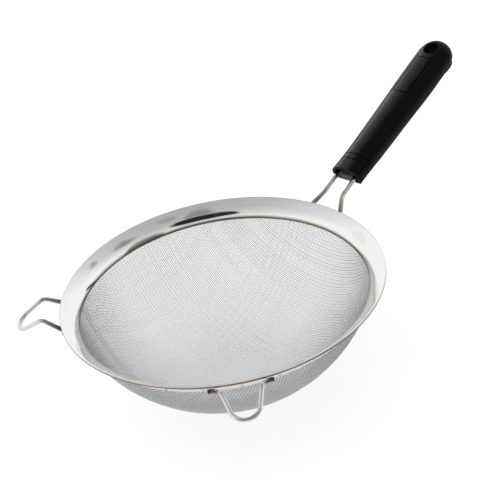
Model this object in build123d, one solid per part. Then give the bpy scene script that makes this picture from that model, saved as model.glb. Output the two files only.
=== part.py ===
from build123d import *
import math
import os

# Round wire sieve with a wide polished rim, two rest hooks and a moulded handle.
# Millimetres. The origin is the centre of the rim's top edge, on the bowl's axis.
# +Z points up out of the open bowl and the handle leaves towards +X.
os.makedirs("parts", exist_ok=True)

# Shared values
cut_overrun = 2.0
cloth_clearance = 0.05
weld_sink = 0.15
minimum_sliver = 0.05

# Rim flange: one pressed ring of sheet with a turned down lip and an inner collar
rim_radius = 110.0
rim_sheet = 0.8
lip_height = 1.3
lip_round = 0.7
band_width = 12.0
band_angle = math.radians(40.0)
collar_height = 3.2

# Mesh bowl: cloth of woven wire, pressed to a round bowl with an upright neck
cloth_thickness = 0.7
neck_height = 2.6
neck_below_band = 0.6
bowl_depth = 80.2
cloth_turn = 85.0
openings_across = 11
opening_share = 0.74
plain_edge_height = 3.6
opening_start_share = 0.3

# Clamp hoop: plain ring outside the cloth's neck
hoop_sheet = 0.8
hoop_height = 2.7

# Rest hooks: bent wire, both feet welded under the flange
hook_wire = 3.0
hook_left_angle = 135.3
hook_right_angle = -132.0
hook_foot_inset = 3.2
hook_foot_length = 3.8
hook_foot_side = 16.9
hook_foot_bend = 2.8
hook_knee_reach = 0.6
hook_knee_z = -3.0
hook_knee_side = 15.4
hook_knee_bend = 2.5
hook_top_reach = 10.3
hook_top_z = 3.6
hook_top_side = 12.7
hook_top_bend = 5.0
hook_tip_reach = 28.2
hook_tip_z = -6.2
hook_tip_side = 7.3
hook_tip_bend = 9.0

# Handle wire: one rod bent to a long U, its two feet welded under the flange
handle_wire_size = 3.4
handle_slope = 20.2
mouth_reach = 28.0
mouth_z = 9.0
handle_foot_inset = 3.4
handle_foot_length = 8.5
handle_foot_side = 14.0
handle_foot_bend = 4.0
handle_knee_reach = 2.2
handle_knee_z = -3.7
handle_knee_side = 12.6
handle_knee_bend = 6.0
shoulder_before_mouth = 17.0
shoulder_bend = 12.0
tang_side = 7.7
tang_length = 88.0

# Grip: moulded handle, domed on top, with a round end about the hang hole
grip_top = 8.6
grip_front_width = 24.6
grip_front_below = 4.6
grip_front_top_round = 9.0
grip_front_bottom_round = 2.0
grip_neck_at = 20.0
grip_neck_width = 24.4
grip_neck_below = 5.6
grip_neck_top_round = 9.0
grip_neck_bottom_round = 5.0
grip_middle_at = 62.0
grip_middle_width = 26.0
grip_middle_below = 10.4
grip_middle_top_round = 9.3
grip_middle_bottom_round = 8.0
grip_end_at = 121.4
grip_end_width = 28.0
grip_end_below = 10.0
grip_end_top_round = 9.4
grip_end_bottom_round = 7.0
hang_hole_at = 122.8
hang_hole_radius = 5.3
hang_hole_chamfer = 0.9
pad_radius = 12.1
pad_height = 1.2
pad_sunk = 3.0
pad_round = 0.9
mouth_wall = 2.4
mouth_depth = 5.0
mouth_floor_below = 3.4
mouth_top_round = 6.5
mouth_bottom_round = 1.5
channel_clearance = 0.15
ring_places = (9.8, 14.4)
ring_width = 0.7
ring_depth = 0.45
panel_at = 95.3
panel_length = 36.0
panel_width = 13.0
panel_line = 0.8
panel_depth = 0.4

# Plug: insert that wedges the two legs apart in the mouth
plug_clearance = 0.1
plug_head_height = 6.2
plug_stem_height = 3.2
plug_length = 34.0
plug_proud = 0.4

# Worked out places
band_slope = math.tan(band_angle)
band_upright = 1 / math.cos(band_angle)
lip_peak = lip_round * (band_slope + band_upright - 1)
band_inner_z = lip_peak - band_width * band_slope
collar_radius = rim_radius - band_width
collar_bottom = band_inner_z - collar_height
neck_inner = collar_radius + rim_sheet + cloth_clearance
neck_outer = neck_inner + cloth_thickness
hoop_inner = neck_outer + cloth_clearance
hoop_outer = hoop_inner + hoop_sheet
hook_foot_radius = rim_radius - hook_foot_inset
handle_foot_radius = rim_radius - handle_foot_inset
mouth_x = rim_radius + mouth_reach


def underside_z(radius):
    """Height of the sloping band's lower face at a distance from the axis."""
    return lip_peak - (rim_radius - radius) * band_slope - rim_sheet * band_upright


def foot_z(radius, wire_size):
    """Height of a wire's centre when it is pressed into the band's lower face."""
    return underside_z(radius) - (wire_size / 2 - weld_sink) * band_upright


def strip_outline(points, thickness):
    """Closed outline of a sheet that runs along a line of points."""
    normals = []
    for start, stop in zip(points, points[1:]):
        run = Vector(stop[0] - start[0], stop[1] - start[1]).normalized()
        normals.append(Vector(-run.Y, run.X))
    normals = [normals[0]] + normals + [normals[-1]]
    sides = ([], [])
    for point, before, after in zip(points, normals, normals[1:]):
        mitre = (before + after) / (1 + before.dot(after))
        for side, sign in zip(sides, (1, -1)):
            shift = mitre * (sign * thickness / 2)
            side.append((point[0] + shift.X, point[1] + shift.Y))
    return sides[0] + sides[1][::-1]


def rounded_path(corners):
    """Wire through corner points, each inner corner rounded by its own radius."""
    places = [Vector(*corner[:3]) for corner in corners]
    edges = []
    start = places[0]
    for before, here, after, corner in zip(places, places[1:], places[2:], corners[1:]):
        back = (before - here).normalized()
        on = (after - here).normalized()
        half = math.acos(max(-1, min(1, back.dot(on)))) / 2
        reach = corner[3] / math.tan(half)
        centre = here + (back + on).normalized() * (corner[3] / math.sin(half))
        middle = centre + (here - centre).normalized() * corner[3]
        entry = here + back * reach
        leave = here + on * reach
        if (entry - start).length > minimum_sliver:
            edges.append(Edge.make_line(start, entry))
        else:
            entry = start
        edges.append(Edge.make_three_point_arc(entry, middle, leave))
        start = leave
    edges.append(Edge.make_line(start, places[-1]))
    return Wire(edges)


def bent_wire(corners, size):
    """Round wire swept along a rounded path."""
    path = rounded_path(corners)
    plane = Plane(origin=path @ 0, z_dir=path % 0)
    return sweep(plane * Circle(size / 2), path=path)


# Rim flange
def make_rim_flange():
    half = rim_sheet / 2
    line = [
        (rim_radius - half, -lip_height),
        (rim_radius - half, lip_peak - half * (band_upright + band_slope)),
        (collar_radius + half, band_inner_z - half * (band_upright - band_slope)),
        (collar_radius + half, collar_bottom),
    ]
    face = make_face(Polyline(*strip_outline(line, rim_sheet), close=True))
    corner = face.vertices().sort_by(Axis.Y)[-1]
    face = fillet(corner, lip_round)
    return revolve(Plane.XZ * face, axis=Axis.Z)


# Mesh bowl
def make_cloth_openings(ball, centre_z, edge_z):
    """Tools that cut a coarse grid of openings, each one widening outwards from the ball's centre."""
    edge_angle = math.acos((centre_z - edge_z) / ball)
    pitch = 2 * edge_angle / openings_across
    depth = ball + cut_overrun
    below = Pos(0, 0, edge_z - ball) * Box(4 * ball, 4 * ball, 2 * ball)
    centres = [(k + 0.5) * pitch - edge_angle for k in range(openings_across)]
    tools = []
    for first in centres:
        for second in centres:
            if math.hypot(math.tan(first), math.tan(second)) > math.tan(edge_angle):
                continue
            faces = []
            for share in (opening_start_share, 1):
                level = depth * share
                sides = [
                    [level * math.tan(angle + way * opening_share * pitch / 2) for way in (-1, 1)]
                    for angle in (first, second)
                ]
                corners = [(sides[0][i], sides[1][j]) for i, j in ((0, 0), (1, 0), (1, 1), (0, 1))]
                faces.append(Pos(0, 0, centre_z - level) * make_face(Polyline(*corners, close=True)))
            tool = Rot(0, 0, cloth_turn) * loft(faces, ruled=True)
            reach = [math.tan(abs(angle) + opening_share * pitch / 2) for angle in (first, second)]
            if math.hypot(*reach) > math.tan(edge_angle):
                tool = tool & below
            tools.append(tool)
    return tools


def make_mesh_bowl():
    neck_top = band_inner_z - neck_below_band
    neck_bottom = neck_top - neck_height
    neck_middle = (neck_inner + neck_outer) / 2
    rise = bowl_depth + neck_bottom - cloth_thickness / 2
    ball = (neck_middle ** 2 + rise ** 2) / (2 * rise)
    centre_z = neck_bottom - rise + ball
    sides = []
    for radius, ball_radius in ((neck_inner, ball - cloth_thickness / 2), (neck_outer, ball + cloth_thickness / 2)):
        meet_z = centre_z - math.sqrt(ball_radius ** 2 - radius ** 2)
        angle = math.atan2(radius, centre_z - meet_z) / 2
        middle = (ball_radius * math.sin(angle), centre_z - ball_radius * math.cos(angle))
        sides.append(((radius, neck_top), (radius, meet_z), middle, (0, centre_z - ball_radius)))
    inner, outer = sides
    outline = [
        Line(inner[0], inner[1]),
        ThreePointArc(inner[1], inner[2], inner[3]),
        Line(inner[3], outer[3]),
        ThreePointArc(outer[3], outer[2], outer[1]),
        Line(outer[1], outer[0]),
        Line(outer[0], inner[0]),
    ]
    shell = revolve(Plane.XZ * make_face(outline), axis=Axis.Z)
    return shell - make_cloth_openings(ball, centre_z, neck_bottom - plain_edge_height)


# Clamp hoop
def make_clamp_hoop():
    top = underside_z(hoop_inner) - cloth_clearance
    outer_top = underside_z(hoop_outer) - cloth_clearance
    bottom = top - hoop_height
    outline = Polyline(
        (hoop_inner, top), (hoop_outer, outer_top), (hoop_outer, bottom), (hoop_inner, bottom), close=True
    )
    return revolve(Plane.XZ * make_face(outline), axis=Axis.Z)


# Rest hooks
def make_hook(angle, flange):
    foot = foot_z(hook_foot_radius, hook_wire)
    half = [
        (hook_foot_radius, hook_foot_side + hook_foot_length, foot, 0),
        (hook_foot_radius, hook_foot_side, foot, hook_foot_bend),
        (rim_radius + hook_knee_reach, hook_knee_side, hook_knee_z, hook_knee_bend),
        (rim_radius + hook_top_reach, hook_top_side, hook_top_z, hook_top_bend),
        (rim_radius + hook_tip_reach, hook_tip_side, hook_tip_z, hook_tip_bend),
    ]
    other = [(x, -y, z, bend) for x, y, z, bend in half[::-1]]
    return Rot(0, 0, angle) * bent_wire(half + other, hook_wire) - flange


# Handle frame: its own origin is the mouth's centre, its X runs along the grip
grip_plane = Plane(
    origin=(mouth_x, 0, mouth_z),
    x_dir=(math.cos(math.radians(handle_slope)), 0, math.sin(math.radians(handle_slope))),
    z_dir=(-math.sin(math.radians(handle_slope)), 0, math.cos(math.radians(handle_slope))),
)


def along_grip(distance):
    """Point on the tang's middle line, at a distance behind the mouth."""
    return grip_plane.from_local_coords(Vector(distance, 0, 0))


# Handle wire
def make_handle_wire(flange):
    foot = foot_z(handle_foot_radius, handle_wire_size)
    foot_x = math.sqrt(handle_foot_radius ** 2 - handle_foot_side ** 2)
    foot_end_side = handle_foot_side + handle_foot_length
    foot_end_x = math.sqrt(handle_foot_radius ** 2 - foot_end_side ** 2)
    shoulder = along_grip(-shoulder_before_mouth)
    turn = along_grip(tang_length - handle_wire_size / 2)
    half = [
        (foot_end_x, foot_end_side, foot, 0),
        (foot_x, handle_foot_side, foot, handle_foot_bend),
        (rim_radius + handle_knee_reach, handle_knee_side, handle_knee_z, handle_knee_bend),
        (shoulder.X, tang_side, shoulder.Z, shoulder_bend),
        (turn.X, tang_side, turn.Z, tang_side - minimum_sliver),
    ]
    other = [(x, -y, z, bend) for x, y, z, bend in half[::-1]]
    return bent_wire(half + other, handle_wire_size) - flange


# Handle grip
def grip_section(width, below, top_round, bottom_round, inset=0):
    """Section of the grip: domed top at the same height everywhere, rounder or flatter below."""
    height = grip_top + below
    shape = Pos(0, (grip_top - below) / 2) * Rectangle(width - 2 * inset, height - 2 * inset)
    shape = fillet(shape.vertices().group_by(Axis.Y)[-1], top_round - inset)
    return fillet(shape.vertices().group_by(Axis.Y)[0], bottom_round - inset)


def section_plane(distance):
    """Plane across the grip, with its own Y along the grip's upward direction."""
    return Plane(origin=along_grip(distance), x_dir=(0, 1, 0), z_dir=grip_plane.x_dir)


grip_stations = (
    (0, grip_front_width, grip_front_below, grip_front_top_round, grip_front_bottom_round),
    (grip_neck_at, grip_neck_width, grip_neck_below, grip_neck_top_round, grip_neck_bottom_round),
    (grip_middle_at, grip_middle_width, grip_middle_below, grip_middle_top_round, grip_middle_bottom_round),
    (grip_end_at, grip_end_width, grip_end_below, grip_end_top_round, grip_end_bottom_round),
)


def station_between(distance):
    """Width, lower height and rounds of the grip between two stations."""
    for near, far in zip(grip_stations, grip_stations[1:]):
        if near[0] <= distance <= far[0]:
            part = (distance - near[0]) / (far[0] - near[0])
            return [a + (b - a) * part for a, b in zip(near[1:], far[1:])]


def grip_box(start, stop, width, bottom, top):
    """Block in the grip's frame between two distances behind the mouth."""
    middle = ((start + stop) / 2, 0, (bottom + top) / 2)
    return grip_plane * Pos(*middle) * Box(stop - start, width, top - bottom)


def make_grip_body():
    sections = [section_plane(station[0]) * grip_section(*station[1:]) for station in grip_stations]
    body = loft(sections)
    half = split(grip_section(*grip_stations[-1][1:]), Plane.YZ, keep=Keep.BOTTOM)
    end_axis = Axis(along_grip(grip_end_at), grip_plane.z_dir)
    body += revolve(section_plane(grip_end_at) * half, axis=end_axis, revolution_arc=180)
    pad_depth = pad_height + pad_sunk
    pad = Pos(grip_end_at, 0, pad_sunk - grip_end_below - pad_depth / 2) * Cylinder(pad_radius, pad_depth)
    pad = fillet(pad.edges().sort_by(Axis.Z)[0], pad_round)
    return body + grip_plane * pad


def make_mouth_cut():
    """Recess in the grip's front end, arched above, with a notch in its floor for the plug's head."""
    width = grip_front_width - 2 * mouth_wall
    top = grip_top - mouth_wall
    face = Pos(0, (top - mouth_floor_below) / 2) * Rectangle(width, top + mouth_floor_below)
    face = fillet(face.vertices().group_by(Axis.Y)[-1], mouth_top_round)
    face = fillet(face.vertices().group_by(Axis.Y)[0], mouth_bottom_round)
    recess = extrude(section_plane(-cut_overrun) * face, mouth_depth + cut_overrun)
    notch_width = 2 * tang_side - handle_wire_size
    return recess + grip_box(-cut_overrun, mouth_depth, notch_width, -grip_front_below - cut_overrun, 0)


def make_channel_cut():
    """Slot for the wire's two legs and their turn."""
    reach = tang_side + handle_wire_size / 2 + channel_clearance
    height = handle_wire_size + 2 * channel_clearance
    straight = tang_length - tang_side - handle_wire_size / 2
    slot = grip_box(-cut_overrun, straight, 2 * reach, -height / 2, height / 2)
    return slot + grip_plane * Pos(straight, 0, 0) * Cylinder(reach, height)


def make_ring_cut(place):
    """Shallow ring groove round the grip."""
    width, below, top_round, bottom_round = station_between(place)
    block = grip_box(place, place + ring_width, width + 2 * cut_overrun, -below - cut_overrun, grip_top + cut_overrun)
    section = grip_section(width, below, top_round, bottom_round, ring_depth)
    core = extrude(section_plane(place - ring_width) * section, 3 * ring_width)
    return block - core


def make_panel_cut():
    """Engraved outline of the panel on the grip's flat top."""
    start = panel_at - panel_length / 2
    stop = panel_at + panel_length / 2
    bottom = grip_top - panel_depth
    top = grip_top + cut_overrun
    outer = grip_box(start, stop, panel_width, bottom, top)
    inner = grip_box(
        start + panel_line, stop - panel_line, panel_width - 2 * panel_line, bottom - cut_overrun, top + cut_overrun
    )
    return outer - inner


def make_hole_cut():
    """Straight hang hole with a cone at each end."""
    low = -grip_end_below - pad_height
    cone_height = hang_hole_chamfer + cut_overrun
    wide = hang_hole_radius + cone_height
    bore = Pos(0, 0, (grip_top + low) / 2) * Cylinder(hang_hole_radius, grip_top - low + 2 * cut_overrun)
    upper = Pos(0, 0, grip_top - hang_hole_chamfer + cone_height / 2) * Cone(hang_hole_radius, wide, cone_height)
    lower = Pos(0, 0, low + hang_hole_chamfer - cone_height / 2) * Cone(wide, hang_hole_radius, cone_height)
    return grip_plane * Pos(hang_hole_at, 0, 0) * (bore + upper + lower)


def make_handle_grip():
    body = make_grip_body()
    body -= make_mouth_cut()
    body -= make_channel_cut()
    for place in ring_places:
        body -= make_ring_cut(place)
    body -= make_panel_cut()
    return body - make_hole_cut()


# Handle plug
def make_handle_plug():
    gap = 2 * tang_side - handle_wire_size - 2 * plug_clearance
    head_bottom = plug_clearance - grip_front_below
    head_stop = mouth_depth - plug_clearance
    head = grip_box(-plug_proud, head_stop, gap, head_bottom, head_bottom + plug_head_height)
    stem = grip_box(head_stop, plug_length, gap, -plug_stem_height / 2, plug_stem_height / 2)
    return head + stem


rim_flange = make_rim_flange()
mesh_bowl = make_mesh_bowl()
clamp_hoop = make_clamp_hoop()
hook_left = make_hook(hook_left_angle, rim_flange)
hook_right = make_hook(hook_right_angle, rim_flange)
handle_wire = make_handle_wire(rim_flange)
handle_grip = make_handle_grip()
handle_plug = make_handle_plug()

nodes = {
    "rim_flange": rim_flange,
    "mesh_bowl": mesh_bowl,
    "mesh_clamp_hoop": clamp_hoop,
    "rest_hook_left": hook_left,
    "rest_hook_right": hook_right,
    "handle_wire": handle_wire,
    "handle_grip": handle_grip,
    "handle_plug": handle_plug,
}
for name, shape in nodes.items():
    print(name, round(shape.volume, 1), shape.is_valid, len(shape.solids()), shape.bounding_box())
    export_step(shape, f"parts/{name}.step")
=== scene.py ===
import math
import bmesh
import bpy
import numpy as np
from mathutils import Matrix, Vector


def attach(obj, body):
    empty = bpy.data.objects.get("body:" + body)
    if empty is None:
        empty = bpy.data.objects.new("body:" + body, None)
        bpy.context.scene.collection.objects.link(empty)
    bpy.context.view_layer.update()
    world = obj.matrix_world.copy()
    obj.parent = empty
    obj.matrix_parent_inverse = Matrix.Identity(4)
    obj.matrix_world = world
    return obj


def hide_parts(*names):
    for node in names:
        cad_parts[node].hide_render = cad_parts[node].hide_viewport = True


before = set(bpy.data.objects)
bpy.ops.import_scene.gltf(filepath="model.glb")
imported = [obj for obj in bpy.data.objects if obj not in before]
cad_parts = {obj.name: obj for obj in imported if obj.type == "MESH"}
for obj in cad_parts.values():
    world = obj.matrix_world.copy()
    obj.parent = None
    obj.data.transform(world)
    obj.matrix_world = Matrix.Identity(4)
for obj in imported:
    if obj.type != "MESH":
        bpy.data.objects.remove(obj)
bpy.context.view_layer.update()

# Studio and camera
# The sieve stands free in a white tent, seen from in front and above, a metre away.
# A long lens keeps the rim's far side nearly as wide as its near side.
camera_place = Vector((-0.5569, -0.6197, 0.5529))
camera_aim = Vector((0.04675, 0.02426, 0.0))
camera_roll = math.radians(-10.39)
camera_lens = 112.5
camera_sensor = 36.0
tent_light = 0.85
tent_white = 1.0
floor_radius = 4.0
floor_drop = 0.0805
floor_colour = (0.50, 0.475, 0.45, 1)
floor_lift_colour = (0.60, 0.62, 0.64, 1)
floor_mirrored = 0.6
key_place = Vector((-0.55, 0.95, 1.15))
key_size = 2.2
key_power = 7.0

camera_data = bpy.data.cameras.new("camera")
camera_data.lens = camera_lens
camera_data.sensor_width = camera_sensor
camera = bpy.data.objects.new("camera", camera_data)
look = (camera_aim - camera_place).to_track_quat("-Z", "Y").to_matrix()
look = look @ Matrix.Rotation(camera_roll, 3, "Z")
camera.matrix_world = Matrix.Translation(camera_place) @ look.to_4x4()
bpy.context.collection.objects.link(camera)
bpy.context.scene.camera = camera
bpy.context.scene.view_settings.view_transform = "Standard"


def add_step(tree, kind, sockets=(), **settings):
    """Adds one node, with its settings and with its sockets as plain values or links."""
    step = tree.nodes.new("ShaderNode" + kind)
    for name, value in settings.items():
        setattr(step, name, value)
    for name, value in dict(sockets).items():
        if isinstance(value, bpy.types.NodeSocket):
            tree.links.new(value, step.inputs[name])
        else:
            step.inputs[name].default_value = value
    return step


def place_piece(name, bm, finish, smooth=True):
    """Turns a bmesh into an object of the scene with one finish."""
    mesh = bpy.data.meshes.new(name)
    bm.to_mesh(mesh)
    bm.free()
    mesh.materials.append(finish)
    for face in mesh.polygons:
        face.use_smooth = smooth
    piece = bpy.data.objects.new(name, mesh)
    bpy.context.collection.objects.link(piece)
    return piece


def new_finish(name, metallic=0.0):
    """Starts a material and hands back its node tree and its main shader too."""
    finish = bpy.data.materials.new(name)
    finish.use_nodes = True
    skin = finish.node_tree.nodes["Principled BSDF"]
    skin.inputs["Metallic"].default_value = metallic
    return finish, finish.node_tree, skin


def add_ramp(tree, factor, stops):
    """Adds a colour ramp with its stops as pairs of a position and a colour."""
    step = add_step(tree, "ValToRGB", {"Fac": factor})
    while len(step.color_ramp.elements) < len(stops):
        step.color_ramp.elements.new(1.0)
    for stop, (position, colour) in zip(step.color_ramp.elements, stops):
        stop.position = position
        stop.color = (*colour, 1)
    return step.outputs[0]


def add_softbox(name, shape, size, power, place, aim):
    """Hangs a soft lamp that faces a point."""
    data = bpy.data.lights.new(name, "AREA")
    data.shape = shape
    data.size = size
    data.energy = power
    lamp = bpy.data.objects.new(name, data)
    facing = (place - aim).to_track_quat("Z", "Y").to_matrix().to_4x4()
    lamp.matrix_world = Matrix.Translation(place) @ facing
    bpy.context.collection.objects.link(lamp)
    return lamp


def finish_node(node, finish):
    """Gives a piece of the frame its finish."""
    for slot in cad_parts[node].material_slots:
        slot.link = "OBJECT"
        slot.material = finish


tent = bpy.data.worlds.new("tent")
bpy.context.scene.world = tent
tent.use_nodes = True
tent_tree = tent.node_tree
rays = add_step(tent_tree, "LightPath")
seen = {0: rays.outputs["Is Camera Ray"], 1: rays.outputs["Is Glossy Ray"]}
seen = add_step(tent_tree, "Math", seen, operation="MAXIMUM")
seen = {0: seen.outputs[0], 1: rays.outputs["Is Transmission Ray"]}
seen = add_step(tent_tree, "Math", seen, operation="MAXIMUM")
level = add_step(tent_tree, "MapRange", {"Value": seen.outputs[0], "To Min": tent_light, "To Max": tent_white})
tent_tree.nodes["Background"].inputs["Color"].default_value = (1, 1, 1, 1)
tent_tree.links.new(level.outputs[0], tent_tree.nodes["Background"].inputs["Strength"])

floor_paper = bpy.data.materials.new("floor_paper")
floor_paper.use_nodes = True
paper_tree = floor_paper.node_tree
paper_tree.nodes.clear()
paper = add_step(paper_tree, "BsdfDiffuse", {"Color": floor_colour})
rays = add_step(paper_tree, "LightPath")
mirrored = {0: rays.outputs["Is Glossy Ray"], 1: floor_mirrored}
mirrored = add_step(paper_tree, "Math", mirrored, operation="MULTIPLY")
shown = {0: rays.outputs["Is Camera Ray"], 1: rays.outputs["Is Transmission Ray"]}
shown = add_step(paper_tree, "Math", shown, operation="MAXIMUM")
shown = add_step(paper_tree, "Math", {0: shown.outputs[0], 1: mirrored.outputs[0]}, operation="MAXIMUM")
glow = add_step(paper_tree, "Emission", {"Color": floor_lift_colour, "Strength": shown.outputs[0]})
both = add_step(paper_tree, "AddShader", {0: paper.outputs[0], 1: glow.outputs[0]})
add_step(paper_tree, "OutputMaterial", {"Surface": both.outputs[0]})
bm = bmesh.new()
bmesh.ops.create_circle(bm, cap_ends=True, radius=floor_radius, segments=64)
bmesh.ops.translate(bm, verts=bm.verts, vec=(0, 0, -floor_drop))
place_piece("floor", bm, floor_paper, smooth=False)

# Mirrored surroundings
# A white tent stands round the sieve, out of view: bright at the sides, greyer overhead, with
# dark gaps on the camera's side and above the handle, and a few small marks. Only shiny
# surfaces mirror it.
tent_radius = 3.0
tent_greys = (
    # sine of the elevation, grey
    (0.0, 0.97),
    (0.45, 0.95),
    (0.56, 0.87),
    (0.68, 0.72),
    (0.82, 0.60),
    (0.93, 0.50),
    (1.0, 0.46),
)
shaded_side = (0.5, -0.866, 0.0)
shaded_heights = (0.4, 0.8)
shaded_amount = 0.16
gap_colour = (0.022, 0.018, 0.020, 1)
gap_places = (
    # left, right, low and top in degrees, softness of the edge, depth
    (-160.0, -95.0, 36.0, 65.0, 0.35, 1.0),
    (-180.0, -80.0, -24.0, 36.0, 0.35, 1.0),
    (-142.0, -100.0, 58.0, 82.0, 0.90, 0.45),
    (-54.0, -31.0, 44.0, 60.0, 0.80, 0.5),
    (52.0, 94.0, 42.0, 84.0, 0.45, 0.95),
    (-96.0, -58.0, -20.0, 50.0, 0.5, 0.8),
    (88.0, 101.0, 18.0, 34.0, 0.45, 0.10),
    (-17.0, -10.0, 39.0, 46.0, 0.8, 0.5),
    (-84.0, -60.0, 67.0, 75.0, 0.9, 0.25),
)

tent_cloth = bpy.data.materials.new("tent_cloth")
tent_cloth.use_nodes = True
tree = tent_cloth.node_tree
tree.nodes.clear()
place = add_step(tree, "TexCoord")
way = add_step(tree, "VectorMath", {0: place.outputs["Object"]}, operation="NORMALIZE")
split = add_step(tree, "SeparateXYZ", {0: way.outputs[0]})
overhead = add_ramp(tree, split.outputs[2], [(position, [grey] * 3) for position, grey in tent_greys])
toward = add_step(tree, "VectorMath", {0: way.outputs[0], 1: shaded_side}, operation="DOT_PRODUCT")
heights = {"Value": split.outputs[2], "From Min": shaded_heights[0], "From Max": shaded_heights[1]}
high = add_step(tree, "MapRange", {**heights, "To Max": shaded_amount})
shaded = {0: toward.outputs["Value"], 1: high.outputs[0]}
shaded = add_step(tree, "Math", shaded, operation="MULTIPLY")
kept = add_step(tree, "Math", {0: 1.0, 1: shaded.outputs[0]}, operation="SUBTRACT")
white = add_step(tree, "VectorMath", {0: overhead, 1: kept.outputs[0]}, operation="MULTIPLY")
turn = add_step(tree, "Math", {0: split.outputs[1], 1: split.outputs[0]}, operation="ARCTAN2")
lift = add_step(tree, "Math", {0: split.outputs[2]}, operation="ARCSINE")

shown = white.outputs[0]
for left, right, low, top, softness, depth in gap_places:
    across = {"Value": turn.outputs[0], "From Min": math.radians(left), "From Max": math.radians(right)}
    across = add_step(tree, "MapRange", {**across, "To Min": -1.0}, clamp=False)
    upward = {"Value": lift.outputs[0], "From Min": math.radians(low), "From Max": math.radians(top)}
    upward = add_step(tree, "MapRange", {**upward, "To Min": -1.0}, clamp=False)
    wide = add_step(tree, "Math", {0: across.outputs[0], 1: across.outputs[0]}, operation="MULTIPLY")
    tall = add_step(tree, "Math", {0: upward.outputs[0], 1: upward.outputs[0]}, operation="MULTIPLY")
    far = add_step(tree, "Math", {0: wide.outputs[0], 1: 2.0}, operation="POWER")
    far = add_step(tree, "Math", {0: tall.outputs[0], 1: 2.0, 2: far.outputs[0]}, operation="MULTIPLY_ADD")
    edge = {"Value": far.outputs[0], "From Min": 1.0 - softness, "From Max": 1.0 + softness}
    edge.update({"To Min": depth, "To Max": 0.0})
    mask = add_step(tree, "MapRange", edge, interpolation_type="SMOOTHSTEP")
    shown = {"Fac": mask.outputs[0], "Color1": shown, "Color2": gap_colour}
    shown = add_step(tree, "MixRGB", shown).outputs[0]
glow = add_step(tree, "Emission", {"Color": shown, "Strength": 1.0})
add_step(tree, "OutputMaterial", {"Surface": glow.outputs[0]})
bm = bmesh.new()
bmesh.ops.create_uvsphere(bm, u_segments=64, v_segments=32, radius=tent_radius)
surround = place_piece("mirrored_tent", bm, tent_cloth)
surround.visible_camera = False
surround.visible_diffuse = False
surround.visible_shadow = False
surround.visible_transmission = False

key = add_softbox("key_softbox", "DISK", key_size, key_power, key_place, Vector((0, 0, 0)))
key.visible_glossy = False

# Polished rim
# One ring of stainless sheet, pressed and turned: a short lip turned down, a wide sloping
# band that steepens inwards and an upright collar. Mirror polished, faintly marked by turning.
# The lip's edge and the collar are coloured brown as a painted reflection of dark surroundings.
rim_radius = 0.110
rim_sheet = 0.0008
lip_height = 0.0013
lip_round = 0.0007
band_width = 0.012
band_angle = math.radians(40.0)
band_slopes = (math.radians(32.0), math.radians(38.5), math.radians(60.0))
band_runs = (0.0072, 0.00737)
collar_height = 0.0020
collar_round = 0.0020
rim_steps = 288
lip_steps = 9
band_steps = 10
fold_steps = 6
rim_edge = 0.00012
rim_corner = math.radians(60.0)
rim_colour = (0.95, 0.945, 0.925)
rim_darkest = 0.95
rim_roughness = (0.06, 0.16)
# Brown painted reflection on the lip's outer edge and on the collar, and where each one lies.
painted_reflection_colour = (0.27, 0.205, 0.175)
painted_reflection_lip = (0.00022, 0.00008)
painted_reflection_collar = (-0.0084, -0.0100)
turning_marks = 1500.0
turning_length = 1.2

lip_peak = lip_round * (math.tan(band_angle) + 1 / math.cos(band_angle) - 1)
collar_radius = rim_radius - band_width
band_inner_z = lip_peak - band_width * math.tan(band_angle)
collar_bottom = band_inner_z - collar_height


def draw_to(bm, last, x, z):
    """Draws a straight run of a section to a new point."""
    new = bmesh.ops.extrude_vert_indiv(bm, verts=[last])["verts"][0]
    new.co = (x, 0, z)
    return new


def draw_bend(bm, last, x, z, angle, steps):
    """Draws a bend of a section round a centre."""
    bent = bmesh.ops.spin(bm, geom=[last], cent=(x, 0, z), axis=(0, -1, 0), angle=angle, steps=steps)
    return [part for part in bent["geom_last"] if isinstance(part, bmesh.types.BMVert)][0]


def turn_section(bm, steps):
    """Turns a drawn section a whole turn about the bowl's axis and closes the seam."""
    section = bm.verts[:] + bm.edges[:]
    whole_turn = {"cent": (0, 0, 0), "axis": (0, 0, 1), "angle": math.tau, "steps": steps}
    bmesh.ops.spin(bm, geom=section, use_merge=True, **whole_turn)
    bmesh.ops.remove_doubles(bm, verts=bm.verts, dist=1e-7)
    bmesh.ops.recalc_face_normals(bm, faces=bm.faces)


def round_edges(bm, edges, size):
    """Takes the sharpness off edges."""
    bmesh.ops.bevel(bm, geom=edges, offset=size, segments=2, affect="EDGES", profile=0.5, material=-1)


bm = bmesh.new()
last = bm.verts.new((rim_radius, 0, -lip_height))
last = draw_to(bm, last, rim_radius, -lip_round)
last = draw_bend(bm, last, rim_radius - lip_round, -lip_round, math.pi / 2 + band_slopes[0], lip_steps)
for start, end, run in zip(band_slopes, band_slopes[1:], band_runs):
    bend = run / (end - start)
    bend_x = last.co.x + bend * math.sin(start)
    bend_z = last.co.z - bend * math.cos(start)
    last = draw_bend(bm, last, bend_x, bend_z, end - start, band_steps)
fold_x = last.co.x + collar_round * math.sin(band_slopes[2])
fold_z = last.co.z - collar_round * math.cos(band_slopes[2])
last = draw_bend(bm, last, fold_x, fold_z, math.pi / 2 - band_slopes[2], fold_steps)
draw_to(bm, last, last.co.x, collar_bottom)
turn_section(bm, rim_steps)
band = max(bm.faces, key=lambda face: face.calc_area())
if band.normal.z < 0:
    bmesh.ops.reverse_faces(bm, faces=bm.faces)
bmesh.ops.solidify(bm, geom=bm.faces[:], thickness=rim_sheet)
rims = [edge for edge in bm.edges if edge.calc_face_angle(0) > rim_corner]
round_edges(bm, rims, rim_edge)

rim_polish, tree, skin = new_finish("rim_polish", metallic=1.0)


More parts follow.
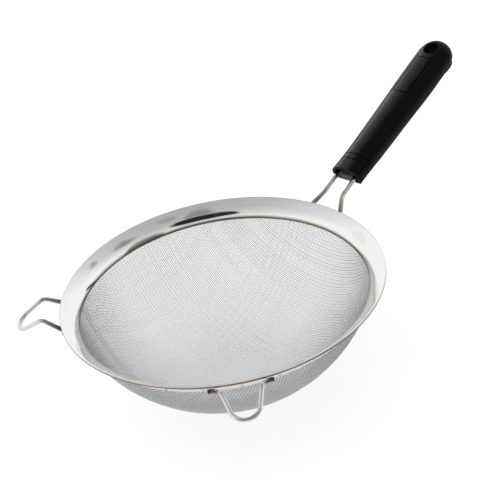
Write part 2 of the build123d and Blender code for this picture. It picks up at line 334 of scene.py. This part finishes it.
def round_coordinates(tree):
    """Distance from the bowl's axis, angle round it and height, at each point of a finish."""
    place = add_step(tree, "TexCoord")
    split = add_step(tree, "SeparateXYZ", {0: place.outputs["Object"]})
    flat = add_step(tree, "CombineXYZ", {"X": split.outputs[0], "Y": split.outputs[1]})
    radius = add_step(tree, "VectorMath", {0: flat.outputs[0]}, operation="LENGTH")
    angle = add_step(tree, "Math", {0: split.outputs[1], 1: split.outputs[0]}, operation="ARCTAN2")
    return place.outputs["Object"], radius.outputs["Value"], angle.outputs[0], split.outputs[2]


place, radius, angle, height = round_coordinates(tree)
slow = add_step(tree, "Math", {0: angle, 1: turning_length}, operation="MULTIPLY")
fine = add_step(tree, "Math", {0: radius, 1: turning_marks}, operation="MULTIPLY")
rise = add_step(tree, "Math", {0: height, 1: turning_marks}, operation="MULTIPLY")
lines = {"X": slow.outputs[0], "Y": fine.outputs[0], "Z": rise.outputs[0]}
lines = add_step(tree, "CombineXYZ", lines)
marks = add_step(tree, "TexNoise", {"Vector": lines.outputs[0], "Scale": 1.0, "Detail": 3.0})
waves = add_step(tree, "TexNoise", {"Vector": place, "Scale": 22.0, "Detail": 1.5})
smears = add_step(tree, "TexNoise", {"Vector": place, "Scale": 70.0, "Detail": 4.0, "Distortion": 1.2})
shine = {"Value": smears.outputs[0], "From Min": 0.45, "From Max": 0.75}
shine.update({"To Min": rim_roughness[0], "To Max": rim_roughness[1]})
shine = add_step(tree, "MapRange", shine)
tree.links.new(shine.outputs[0], skin.inputs["Roughness"])
darkest = [value * rim_darkest for value in rim_colour]
tone = add_ramp(tree, marks.outputs[0], [(0.3, darkest), (0.7, rim_colour)])
# Painted reflection: the lip's outer edge and the collar are coloured brown to stand for the dark surroundings
# they mirror.
outer = {"Value": radius, "From Min": rim_radius - painted_reflection_lip[0], "From Max": rim_radius - painted_reflection_lip[1]}
outer = add_step(tree, "MapRange", outer)
inner = {"Value": height, "From Min": painted_reflection_collar[0], "From Max": painted_reflection_collar[1]}
inner = add_step(tree, "MapRange", inner)
painted_reflection_mask = add_step(tree, "Math", {0: outer.outputs[0], 1: inner.outputs[0]}, operation="MAXIMUM")
tone_with_painted_reflection = {"Fac": painted_reflection_mask.outputs[0], "Color1": tone, "Color2": (*painted_reflection_colour, 1)}
tone_with_painted_reflection = add_step(tree, "MixRGB", tone_with_painted_reflection)
tree.links.new(tone_with_painted_reflection.outputs[0], skin.inputs["Base Color"])
dents = add_step(tree, "Bump", {"Height": waves.outputs[0], "Strength": 0.13, "Distance": 0.004})
turned = {"Height": marks.outputs[0], "Strength": 0.05, "Distance": 0.00005, "Normal": dents.outputs[0]}
turned = add_step(tree, "Bump", turned)
tree.links.new(turned.outputs[0], skin.inputs["Normal"])

rim = place_piece("polished_rim", bm, rim_polish)
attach(rim, "root")
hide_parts("rim_flange")

# Woven mesh bowl
# Plain woven stainless wire cloth, pressed over a ball into a bowl with an upright neck. Each
# wire passes over and under its neighbours and keeps its spacing along both ways. The loom has
# left every second warp wire duller, most of all up the wall.
cloth_pitch = 0.00125
cloth_wire = 0.00033
cloth_turn = math.radians(85.0)
cloth_thickness = 0.0007
cloth_clearance = 0.00005
bowl_depth = 0.07985
neck_height = 0.0026
neck_below_band = 0.0006
cloth_colour = (0.80, 0.807, 0.815)
cloth_darkest = 0.93
cloth_roughness = (0.26, 0.42)
reed_marks = 2
reed_dull = (0.82, 0.30)
reed_heights = (-0.068, -0.022)

neck_radius = collar_radius + rim_sheet + cloth_clearance + cloth_thickness / 2
neck_bottom = band_inner_z - neck_below_band - neck_height
bowl_rise = bowl_depth + neck_bottom - cloth_thickness / 2
ball_radius = (neck_radius ** 2 + bowl_rise ** 2) / (2 * bowl_rise)
ball_centre = Vector((0, 0, neck_bottom - bowl_rise + ball_radius))
neck_polar = math.asin(neck_radius / ball_radius)
cloth_reach = ball_radius * neck_polar + neck_height
cloth_count = math.ceil(cloth_reach / cloth_pitch)
never_zero = 1e-12


def press_cloth():
    """Directions from the ball's centre to the crossings. Every opening keeps four equal sides."""
    size = 2 * cloth_count + 1
    crossings = np.zeros((size, size, 3))
    steps = np.arange(-cloth_count, cloth_count + 1) * cloth_pitch / ball_radius
    down = np.array([0.0, 0.0, -1.0])
    warp = np.array([math.cos(cloth_turn), math.sin(cloth_turn), 0.0])
    weft = np.array([-math.sin(cloth_turn), math.cos(cloth_turn), 0.0])
    crossings[:, cloth_count] = np.outer(np.sin(steps), warp) + np.outer(np.cos(steps), down)
    crossings[cloth_count, :] = np.outer(np.sin(steps), weft) + np.outer(np.cos(steps), down)
    for way in (1, -1):
        for other in (1, -1):
            for diagonal in range(2, 2 * cloth_count + 1):
                lowest = max(1, diagonal - cloth_count)
                first = np.arange(lowest, min(cloth_count, diagonal - 1) + 1)
                i = cloth_count + way * first
                j = cloth_count + other * (diagonal - first)
                middle = crossings[i - way, j] + crossings[i, j - other]
                middle /= np.linalg.norm(middle, axis=1)[:, None] + never_zero
                behind = crossings[i - way, j - other]
                crossings[i, j] = 2 * (behind * middle).sum(1)[:, None] * middle - behind
    return crossings


def weave_cloth():
    """Places of both wires at each crossing, over and under by turns, and the crossings in use."""
    crossings = press_cloth()
    polar = np.arccos(np.clip(-crossings[:, :, 2], -1, 1))
    used = polar * ball_radius <= cloth_reach
    flat = crossings[:, :, :2]
    flat = flat / (np.linalg.norm(flat, axis=2)[:, :, None] + never_zero)
    upright = np.dstack([flat, np.zeros(polar.shape)])
    in_neck = (polar > neck_polar)[:, :, None]
    neck = upright * neck_radius
    neck[:, :, 2] = neck_bottom + (polar - neck_polar) * ball_radius
    place = np.where(in_neck, neck, crossings * ball_radius + np.array(ball_centre))
    outward = np.where(in_neck, upright, crossings)
    even = (np.indices(polar.shape).sum(0) % 2 == 0)[:, :, None]
    over = np.where(even, 1, -1) * outward * cloth_wire / 2
    return place + over, place - over, used


def draw_wires(name, place, used, marks):
    """Draws wires as thin tubes with a point at each crossing, the marked ones with the dull finish."""
    curve = bpy.data.curves.new(name, "CURVE")
    curve.dimensions = "3D"
    curve.bevel_depth = cloth_wire / 2
    curve.bevel_resolution = 0
    curve.use_fill_caps = True
    for finish in (drawn_wire, dull_wire):
        curve.materials.append(finish)
    for row, keep, mark in zip(place, used, marks):
        points = row[keep]
        if len(points) < 2:
            continue
        spline = curve.splines.new("POLY")
        spline.material_index = mark
        spline.points.add(len(points) - 1)
        spline.points.foreach_set("co", np.column_stack([points, np.ones(len(points))]).ravel())
    drawn = bpy.data.objects.new(name + "_curve", curve)
    mesh = bpy.data.meshes.new_from_object(drawn)
    bpy.data.objects.remove(drawn)
    for face in mesh.polygons:
        face.use_smooth = True
    piece = bpy.data.objects.new(name, mesh)
    bpy.context.collection.objects.link(piece)
    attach(piece, "root")
    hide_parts("mesh_bowl")


def finish_wire(name, low, high):
    """A drawn wire's patchy, fine grained finish, with its brightness low and high in the bowl."""
    wire, tree, skin = new_finish(name, metallic=1.0)
    place = add_step(tree, "TexCoord").outputs["Object"]
    patches = add_step(tree, "TexNoise", {"Vector": place, "Scale": 45.0, "Detail": 3.0})
    darkest = [value * cloth_darkest for value in cloth_colour]
    tone = add_ramp(tree, patches.outputs[0], [(0.3, darkest), (0.7, cloth_colour)])
    split = add_step(tree, "SeparateXYZ", {0: place})
    ends = {"Value": split.outputs[2], "From Min": reed_heights[0], "From Max": reed_heights[1]}
    ends.update({"To Min": low, "To Max": high})
    kept = add_step(tree, "MapRange", ends, interpolation_type="SMOOTHSTEP")
    steel = add_step(tree, "VectorMath", {0: tone, 1: kept.outputs[0]}, operation="MULTIPLY")
    tree.links.new(steel.outputs[0], skin.inputs["Base Color"])
    grain = add_step(tree, "TexNoise", {"Vector": place, "Scale": 3000.0, "Detail": 1.0})
    shine = {"Value": grain.outputs[0], "From Min": 0.3, "From Max": 0.7}
    shine.update({"To Min": cloth_roughness[0], "To Max": cloth_roughness[1]})
    shine = add_step(tree, "MapRange", shine)
    tree.links.new(shine.outputs[0], skin.inputs["Roughness"])
    return wire


drawn_wire = finish_wire("drawn_mesh_wire", 1.0, 1.0)
dull_wire = finish_wire("dull_mesh_wire", *reed_dull)

weft_place, warp_place, used = weave_cloth()
reed = [int(number % reed_marks == 0) for number in range(2 * cloth_count + 1)]
weft = (weft_place, used, [0] * len(reed))
warp = (warp_place.transpose(1, 0, 2), used.T, reed)
for name, rows in (("weft", weft), ("warp", warp)):
    draw_wires("cloth_" + name + "_near", *[row[:cloth_count] for row in rows])
    draw_wires("cloth_" + name + "_far", *[row[cloth_count:] for row in rows])

# Clamp hoop
# A plain stainless strip bent to a ring round the cloth's neck and spot welded through it to
# the collar. The welds leave a row of small round marks.
hoop_sheet = 0.0008
hoop_height = 0.0019
hoop_edge = 0.00015
hoop_corner = math.radians(30.0)
hoop_welds = 26.0
weld_spot = (0.0006, 0.0011)
weld_colour = (0.62, 0.58, 0.53)
hoop_colour = (0.86, 0.855, 0.84)

hoop_inner = neck_radius + cloth_thickness / 2 + cloth_clearance
hoop_outer = hoop_inner + hoop_sheet
hoop_slope = math.tan(band_angle)
band_under = lip_peak - (rim_radius - hoop_inner) * hoop_slope - rim_sheet / math.cos(band_angle)
hoop_top = band_under - cloth_clearance
bm = bmesh.new()
first = bm.verts.new((hoop_inner, 0, hoop_top))
last = draw_to(bm, first, hoop_outer, hoop_top + hoop_sheet * hoop_slope)
last = draw_to(bm, last, hoop_outer, hoop_top - hoop_height)
last = draw_to(bm, last, hoop_inner, hoop_top - hoop_height)
bm.edges.new((last, first))
turn_section(bm, rim_steps)
corners = [edge for edge in bm.edges if edge.calc_face_angle(0) > hoop_corner]
round_edges(bm, corners, hoop_edge)

hoop_steel, tree, skin = new_finish("rolled_hoop_steel", metallic=1.0)
place, radius, angle, height = round_coordinates(tree)
turns = add_step(tree, "Math", {0: angle, 1: hoop_welds / math.tau}, operation="MULTIPLY")
within = add_step(tree, "Math", {0: turns.outputs[0], 1: 1.0, 2: 0.0}, operation="WRAP")
side = add_step(tree, "Math", {0: within.outputs[0], 1: 0.5}, operation="SUBTRACT")
side = {0: side.outputs[0], 1: math.tau * hoop_outer / hoop_welds}
side = add_step(tree, "Math", side, operation="MULTIPLY")
up = add_step(tree, "Math", {0: height, 1: hoop_top - hoop_height / 2}, operation="SUBTRACT")
spot = add_step(tree, "CombineXYZ", {"X": side.outputs[0], "Y": up.outputs[0]})
spot = add_step(tree, "VectorMath", {0: spot.outputs[0]}, operation="LENGTH")
spot = {"Value": spot.outputs["Value"], "From Min": weld_spot[0], "From Max": weld_spot[1]}
spot = add_step(tree, "MapRange", {**spot, "To Min": 1.0, "To Max": 0.0})
streaks = add_step(tree, "TexNoise", {"Vector": place, "Scale": 160.0, "Detail": 4.0})
steel = {"Fac": spot.outputs[0], "Color1": (*hoop_colour, 1), "Color2": (*weld_colour, 1)}
steel = add_step(tree, "MixRGB", steel)
tree.links.new(steel.outputs[0], skin.inputs["Base Color"])
shine = add_step(tree, "MapRange", {"Value": streaks.outputs[0], "To Min": 0.16, "To Max": 0.34})
tree.links.new(shine.outputs[0], skin.inputs["Roughness"])
dimple = {"Height": spot.outputs[0], "Strength": 0.25, "Distance": 0.0001}
dimple = add_step(tree, "Bump", dimple, invert=True)
tree.links.new(dimple.outputs[0], skin.inputs["Normal"])

hoop = place_piece("clamp_hoop", bm, hoop_steel)
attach(hoop, "root")
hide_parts("mesh_clamp_hoop")

# Rest hooks and handle wire
# Bright drawn stainless wire, bent cold, each foot welded under the rim. The feet are coloured
# dark brown, fading out along the wire: partly the weld's heat tint and partly painted shade under the rim.
wire_colour = (0.80, 0.775, 0.735)
# Dark brown near the bowl's axis: the weld's heat tint, darkened further as painted shade under the rim.
heat_tint_and_shade_colour = (0.15, 0.112, 0.09)
heat_tint_and_shade_start = 0.1120
heat_tint_and_shade_end = 0.1280
heat_tint_and_shade_ragged = 0.004

bright_wire, tree, skin = new_finish("bright_drawn_wire", metallic=1.0)
place, radius, angle, height = round_coordinates(tree)
clouds = add_step(tree, "TexNoise", {"Vector": place, "Scale": 260.0, "Detail": 3.0})
# Painted shade: the feet under the rim are coloured dark brown by their distance from the axis, on top of the
# heat tint.
ragged = {0: clouds.outputs[0], 1: heat_tint_and_shade_ragged, 2: radius}
ragged = add_step(tree, "Math", ragged, operation="MULTIPLY_ADD")
heat_tint_and_shade = {"Value": ragged.outputs[0], "From Min": heat_tint_and_shade_start, "From Max": heat_tint_and_shade_end}
heat_tint_and_shade = add_step(tree, "MapRange", {**heat_tint_and_shade, "To Min": 1.0, "To Max": 0.0})
steel = {"Fac": heat_tint_and_shade.outputs[0], "Color1": (*wire_colour, 1), "Color2": (*heat_tint_and_shade_colour, 1)}
steel = add_step(tree, "MixRGB", steel)
tree.links.new(steel.outputs[0], skin.inputs["Base Color"])
shine = add_step(tree, "MapRange", {"Value": clouds.outputs[0], "To Min": 0.05, "To Max": 0.15})
tree.links.new(shine.outputs[0], skin.inputs["Roughness"])
draw_marks = add_step(tree, "TexNoise", {"Vector": place, "Scale": 900.0, "Detail": 2.0})
scratches = {"Height": draw_marks.outputs[0], "Strength": 0.12, "Distance": 0.00004}
scratches = add_step(tree, "Bump", scratches)
tree.links.new(scratches.outputs[0], skin.inputs["Normal"])
for node in ("rest_hook_left", "rest_hook_right", "handle_wire"):
    finish_node(node, bright_wire)

# Handle grip
# One black moulding, domed on top, with two thin rings at the front, an engraved panel outline
# and a hang hole. It is the solid's own shape with the top crowned, the underside eased into a
# straight line and the panel's long lines cut deeper. The mould left a fine satin grain.
grip_front = Vector((0.138, 0.0, 0.009))
grip_slope = math.radians(20.2)
grip_easing = (
    # distance behind the front, drop of the underside, crown of the top at half the width
    (0.0, 0.0004, 0.0006),
    (0.006, 0.0012, 0.0012),
    (0.014, 0.0021, 0.0026),
    (0.026, 0.0027, 0.0028),
    (0.042, 0.0020, 0.0028),
    (0.058, 0.0006, 0.0028),
    (0.074, -0.0006, 0.0026),
    (0.090, -0.0011, 0.0021),
    (0.106, -0.0013, 0.0020),
    (0.114, -0.0008, 0.0021),
    (0.121, -0.0019, 0.0022),
    (0.128, -0.0014, 0.0020),
    (0.136, 0.0, 0.0018),
)
grip_top = 0.0086
grip_half_width = 0.013
grip_belly = 0.005
grip_cuts = np.linspace(-0.0055, 0.0055, 12)
panel_ends = (0.0770, 0.1136)
panel_side = 0.0055
panel_floor = 0.0082
panel_slack = 2e-5
panel_deeper = 0.00035
grip_corner = math.radians(28.0)
grip_dark = (0.0014, 0.0014, 0.0017)
grip_light = (0.0026, 0.0026, 0.0033)
grip_roughness = (0.40, 0.48)
strip_place = Vector((0.55, 1.10, 0.68))
strip_size = 0.6
strip_power = 13.5
strip_colour = (0.93, 0.93, 1.0)

grip_along = Vector((math.cos(grip_slope), 0, math.sin(grip_slope)))
grip_up = Vector((-math.sin(grip_slope), 0, math.cos(grip_slope)))
places, drops, crowns = zip(*grip_easing)


def smooth_step(share):
    """Smooth share between nothing and all."""
    share = min(max(share, 0.0), 1.0)
    return share * share * (3 - 2 * share)


bm = bmesh.new()
bm.from_mesh(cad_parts["handle_grip"].data)
bmesh.ops.remove_doubles(bm, verts=bm.verts, dist=1e-6)
bmesh.ops.recalc_face_normals(bm, faces=bm.faces)
for cut in grip_cuts:
    whole = bm.verts[:] + bm.edges[:] + bm.faces[:]
    bmesh.ops.bisect_plane(bm, geom=whole, dist=1e-7, plane_co=(0, cut, 0), plane_no=(0, 1, 0))
for corner in bm.verts:
    along = (corner.co - grip_front).dot(grip_along)
    up = (corner.co - grip_front).dot(grip_up)
    side = abs(corner.co.y)
    drop = float(np.interp(along, places, drops)) * smooth_step(-up / grip_belly)
    crown = float(np.interp(along, places, crowns)) * (side / grip_half_width) ** 2
    fall = drop + crown * smooth_step(up / grip_top)
    on_floor = side > panel_side and abs(up - panel_floor) < panel_slack
    if on_floor and panel_ends[0] < along < panel_ends[1]:
        fall += panel_deeper
    corner.co -= grip_up * fall
for edge in bm.edges:
    edge.smooth = edge.calc_face_angle(0) < grip_corner

grip_black, tree, skin = new_finish("satin_black_moulding")
skin.inputs["Specular IOR Level"].default_value = 0.08
place = add_step(tree, "TexCoord").outputs["Object"]
clouds = add_step(tree, "TexNoise", {"Vector": place, "Scale": 60.0, "Detail": 3.0})
tone = add_ramp(tree, clouds.outputs[0], [(0.3, grip_dark), (0.7, grip_light)])
tree.links.new(tone, skin.inputs["Base Color"])
grain = add_step(tree, "TexNoise", {"Vector": place, "Scale": 2600.0, "Detail": 2.0})
shine = {"Value": clouds.outputs[0], "To Min": grip_roughness[0], "To Max": grip_roughness[1]}
shine = add_step(tree, "MapRange", shine)
tree.links.new(shine.outputs[0], skin.inputs["Roughness"])
satin = add_step(tree, "Bump", {"Height": grain.outputs[0], "Strength": 0.2, "Distance": 0.00002})
tree.links.new(satin.outputs[0], skin.inputs["Normal"])

grip = place_piece("moulded_grip", bm, grip_black)
evened = grip.modifiers.new("evened", "WEIGHTED_NORMAL")
evened.keep_sharp = True
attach(grip, "root")
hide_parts("handle_grip")

strip = add_softbox("grip_strip", "SQUARE", strip_size, strip_power, strip_place, grip_front)
strip.data.color = strip_colour
lit = bpy.data.collections.new("lit_by_grip_strip")
lit.objects.link(grip)
strip.light_linking.receiver_collection = lit

# Handle plug
# A small dark moulding pushed between the two legs of the wire to close the grip's mouth.
plug_dark = (0.040, 0.042, 0.050)
plug_light = (0.070, 0.073, 0.086)

plug_grey, tree, skin = new_finish("dark_plug_moulding")
skin.inputs["Specular IOR Level"].default_value = 0.3
skin.inputs["Roughness"].default_value = 0.5
place = add_step(tree, "TexCoord").outputs["Object"]
grain = add_step(tree, "TexNoise", {"Vector": place, "Scale": 1800.0, "Detail": 2.0})
tone = add_ramp(tree, grain.outputs[0], [(0.0, plug_dark), (1.0, plug_light)])
tree.links.new(tone, skin.inputs["Base Color"])
satin = add_step(tree, "Bump", {"Height": grain.outputs[0], "Strength": 0.2, "Distance": 0.00005})
tree.links.new(satin.outputs[0], skin.inputs["Normal"])
finish_node("handle_plug", plug_grey)
